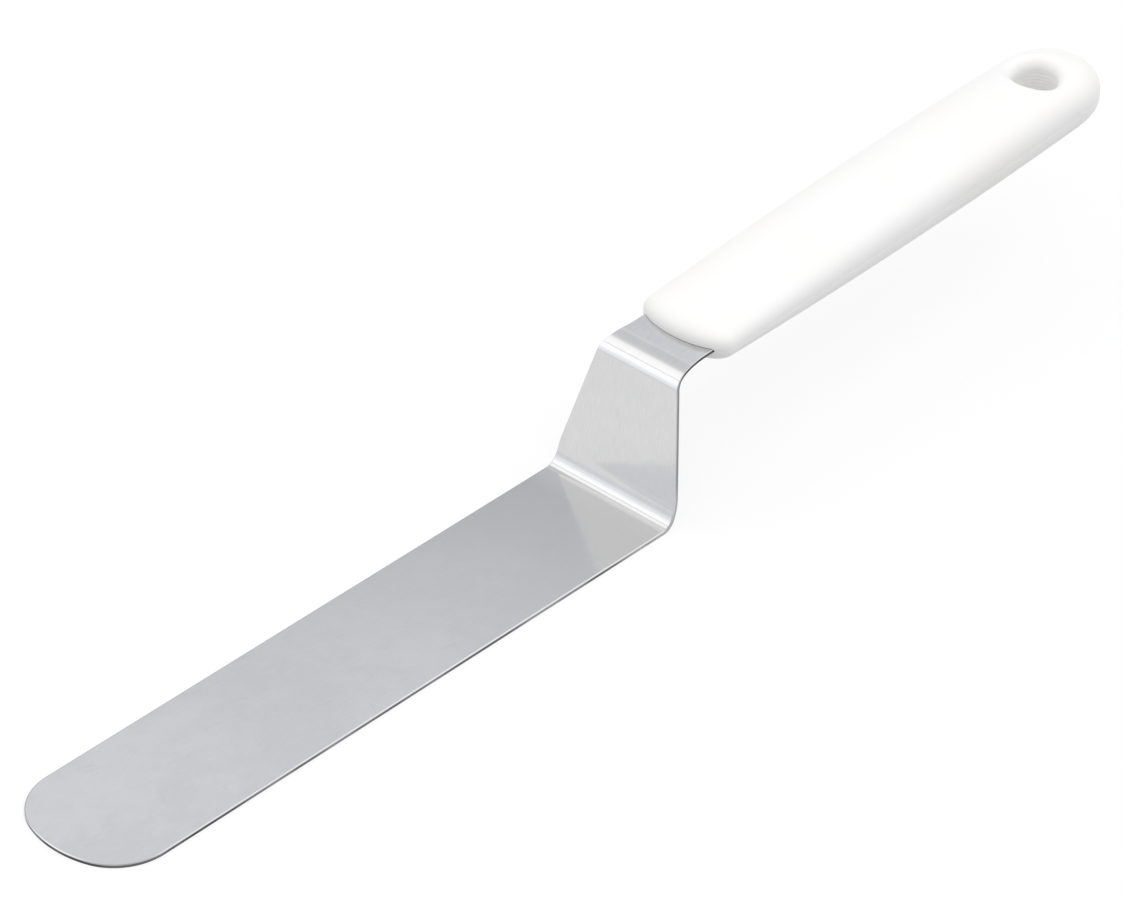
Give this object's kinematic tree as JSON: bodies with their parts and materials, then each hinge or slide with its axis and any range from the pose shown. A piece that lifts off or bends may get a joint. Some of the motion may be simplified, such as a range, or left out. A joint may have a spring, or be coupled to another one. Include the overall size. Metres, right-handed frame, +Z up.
{
  "type": "palette knife",
  "caption": "Cranked palette knife: long flat round-tipped steel blade, stepped neck and hollow white plastic handle with a hang hole.",
  "frame": {"origin": "middle of the blade's flat underside, which lies on the table", "axes": "+X from the blade tip towards the end of the handle, +Y across to the left seen from the handle, +Z up off the table"},
  "size_m": [0.3043, 0.033, 0.0431],
  "materials": {
    "steel_sheet": "fine satin polish, nearly mirror bright, with faint rolling grain",
    "white_plastic": "glossy moulded white plastic"
  },
  "bodies": {
    "root": {"blade": "steel_sheet", "handle_upper_shell": "white_plastic", "handle_lower_shell": "white_plastic"}
  },
  "joints": []
}
